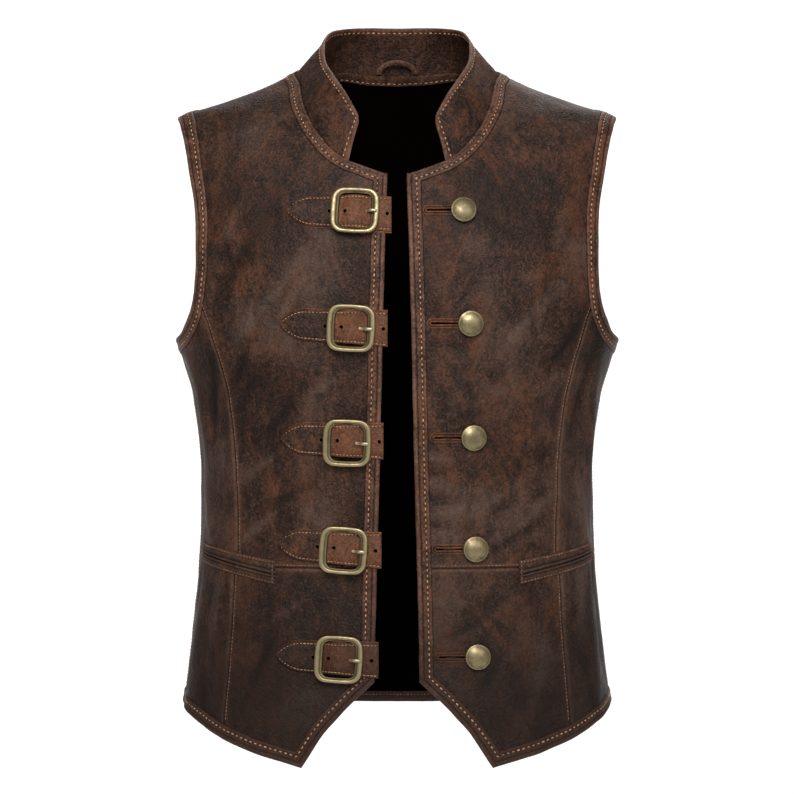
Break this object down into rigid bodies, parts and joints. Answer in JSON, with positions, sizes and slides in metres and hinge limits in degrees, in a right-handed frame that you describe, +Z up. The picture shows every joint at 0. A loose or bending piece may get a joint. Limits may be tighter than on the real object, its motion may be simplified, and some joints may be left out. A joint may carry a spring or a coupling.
{
  "type": "leather vest",
  "caption": "Sleeveless leather vest worn open, with a stand collar, buckled straps down one front and domed buttons down the other, slanted welt pockets and pointed front hem.",
  "frame": {"origin": "on the middle plane between the shoulders, level with the neck ends of the shoulder seams and in the upright plane of the shoulder and side seams", "axes": "+X towards the wearer's left, +Y towards the wearer's back, +Z up"},
  "size_m": [0.4194, 0.2482, 0.6979],
  "materials": {
    "leather": "distressed dark brown, soft sheen",
    "edge_leather": "redder brown edge binding, worn",
    "strap_leather": "waxed brown strap leather",
    "brass": "antique, soft bevels"
  },
  "bodies": {
    "root": {"right_front_upper": "leather", "right_front_lower": "leather", "right_side_upper": "leather", "right_side_lower": "leather", "right_back": "leather", "left_front_upper": "leather", "left_front_lower": "leather", "left_side_upper": "leather", "left_side_lower": "leather", "left_back": "leather", "right_neck_strip": "edge_leather", "right_front_binding": "edge_leather", "right_armhole_binding": "edge_leather", "left_neck_strip": "edge_leather", "left_front_binding": "edge_leather", "left_armhole_binding": "edge_leather", "back_hem_binding": "edge_leather", "back_neck_facing": "edge_leather", "collar": "leather", "hanger_loop": "edge_leather", "right_pocket_welt_upper": "edge_leather", "right_pocket_welt_lower": "edge_leather", "left_pocket_welt_upper": "edge_leather", "left_pocket_welt_lower": "edge_leather", "strap_1": "strap_leather", "buckle_1": "brass", "prong_1": "brass", "strap_2": "strap_leather", "buckle_2": "brass", "prong_2": "brass", "strap_3": "strap_leather", "buckle_3": "brass", "prong_3": "brass", "strap_4": "strap_leather", "buckle_4": "brass", "prong_4": "brass", "strap_5": "strap_leather", "buckle_5": "brass", "prong_5": "brass", "button_1": "brass", "buttonhole_1": "edge_leather", "button_2": "brass", "buttonhole_2": "edge_leather", "button_3": "brass", "buttonhole_3": "edge_leather", "button_4": "brass", "buttonhole_4": "edge_leather", "button_5": "brass", "buttonhole_5": "edge_leather"}
  },
  "joints": []
}
